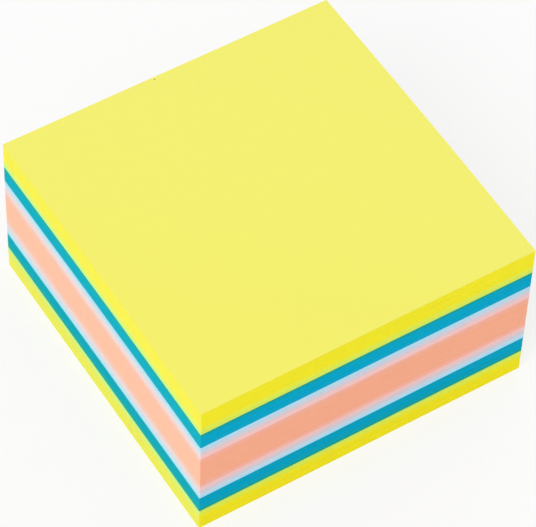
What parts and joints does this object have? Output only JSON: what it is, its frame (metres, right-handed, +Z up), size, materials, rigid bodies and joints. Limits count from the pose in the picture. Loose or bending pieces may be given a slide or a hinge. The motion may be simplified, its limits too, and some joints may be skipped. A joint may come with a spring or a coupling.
{
  "type": "sticky note pad",
  "caption": "Square memo cube of plain sticky notes, stacked in bands of yellow, turquoise, pale pink and peach paper.",
  "frame": {"origin": "centre of the pad's footprint, on the surface it stands on", "axes": "+Z up through the sheets, -Y towards the free edge that is lifted, +Y towards the gummed edge, +X to the right"},
  "size_m": [0.076, 0.076, 0.0391],
  "materials": {
    "yellow_paper": "matte",
    "turquoise_paper": "matte",
    "pale_pink_paper": "matte",
    "peach_paper": "matte"
  },
  "bodies": {
    "root": {"top_yellow_sheets": "yellow_paper", "upper_turquoise_sheets": "turquoise_paper", "upper_pale_pink_sheets": "pale_pink_paper", "peach_sheets": "peach_paper", "lower_pale_pink_sheets": "pale_pink_paper", "lower_turquoise_sheets": "turquoise_paper", "bottom_yellow_sheets": "yellow_paper"}
  },
  "joints": []
}
